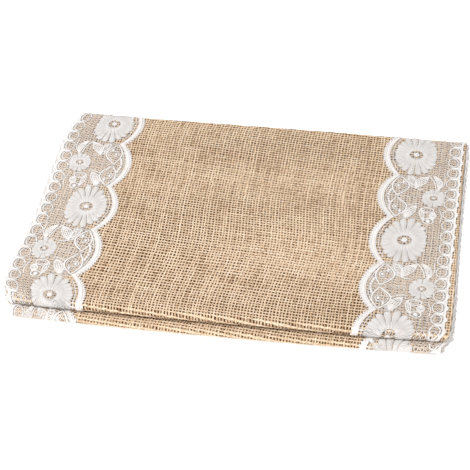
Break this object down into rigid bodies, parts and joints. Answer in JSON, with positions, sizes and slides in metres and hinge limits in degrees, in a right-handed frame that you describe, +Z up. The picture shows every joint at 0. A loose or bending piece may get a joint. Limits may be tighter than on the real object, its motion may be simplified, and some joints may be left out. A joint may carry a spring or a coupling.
{
  "type": "table runner",
  "caption": "Jute burlap table runner with a floral lace trim sewn along both long sides, folded flat into a neat stack of leaves.",
  "frame": {"origin": "middle of the folded footprint, on the surface it lies on", "axes": "+X across the runner from the left trim to the right trim, +Y from the front folds to the rear folds, +Z up"},
  "size_m": [0.305, 0.2343, 0.0116],
  "materials": {
    "jute_hessian": "open plain weave, dry and matt",
    "cotton_lace": "white raschel lace on net, matt",
    "lace_seam_thread": "white sewing thread",
    "hem_thread": "tan sewing thread"
  },
  "bodies": {
    "root": {"burlap_panel": "jute_hessian", "inner_end_hem_bobbin_thread": "hem_thread", "inner_end_hem_needle_thread": "hem_thread", "left_inner_seam_bobbin_thread": "lace_seam_thread", "left_inner_seam_needle_thread": "lace_seam_thread", "left_lace_trim": "cotton_lace", "left_outer_seam_bobbin_thread": "lace_seam_thread", "left_outer_seam_needle_thread": "lace_seam_thread", "outer_end_hem_bobbin_thread": "hem_thread", "outer_end_hem_needle_thread": "hem_thread", "right_inner_seam_bobbin_thread": "lace_seam_thread", "right_inner_seam_needle_thread": "lace_seam_thread", "right_lace_trim": "cotton_lace", "right_outer_seam_bobbin_thread": "lace_seam_thread", "right_outer_seam_needle_thread": "lace_seam_thread"}
  },
  "joints": []
}
